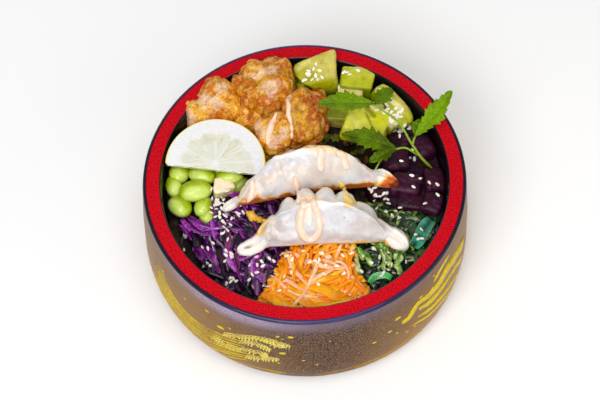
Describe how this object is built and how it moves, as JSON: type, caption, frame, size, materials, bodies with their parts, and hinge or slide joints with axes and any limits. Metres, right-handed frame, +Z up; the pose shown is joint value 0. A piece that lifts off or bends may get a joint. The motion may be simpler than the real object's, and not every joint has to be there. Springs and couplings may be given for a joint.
{
  "type": "poke bowl",
  "caption": "Lacquered tub filled with pan-browned dumplings, fried chicken, a lemon slice, avocado, beetroot, soybeans, cabbage, carrot, seaweed and a herb sprig",
  "frame": {"origin": "centre of the bowl's underside, at the height of the foot ring that it stands on", "axes": "+Z up, -Y towards the person eating, which is the side with the front dumpling and the three heaps of shreds, +X to that person's right, where the beetroot is; metres"},
  "size_m": [0.189, 0.189, 0.097],
  "materials": {
    "lacquer": "glossy lacquer, brown outside and black inside, with a red rim",
    "bed_food": "dark moist food seen between the heaps",
    "herb": "fresh green herb, thin leaves and stalk",
    "dough": "steamed and browned dumpling dough with a peach sauce",
    "lemon": "wet lemon pulp with white pith and yellow peel",
    "fried_crust": "rough golden-brown fried crust",
    "avocado": "smooth yellow-green avocado flesh",
    "beetroot": "dark purple beetroot cubes",
    "pale_food": "pale beige chunk",
    "soybean": "glossy green soybeans",
    "cabbage": "glossy shredded red cabbage",
    "carrot": "shredded orange carrot",
    "seaweed": "glossy green seaweed strips"
  },
  "bodies": {
    "root": {"bowl": "lacquer", "bed": "bed_food", "sprig": "herb", "dumpling_back": "dough", "dumpling_front": "dough", "lemon": "lemon", "chicken_1": "fried_crust", "chicken_2": "fried_crust", "chicken_3": "fried_crust", "chicken_4": "fried_crust", "chicken_5": "fried_crust", "avocado_1": "avocado", "avocado_2": "avocado", "avocado_3": "avocado", "avocado_4": "avocado", "avocado_5": "avocado", "avocado_6": "avocado", "avocado_7": "avocado", "beetroot_1": "beetroot", "beetroot_2": "beetroot", "beetroot_3": "beetroot", "beetroot_4": "beetroot", "beetroot_5": "beetroot", "beetroot_6": "beetroot", "beetroot_7": "beetroot", "beetroot_8": "beetroot", "pale_chunk": "pale_food", "soybeans": "soybean", "cabbage": "cabbage", "carrot": "carrot", "seaweed": "seaweed"}
  },
  "joints": []
}
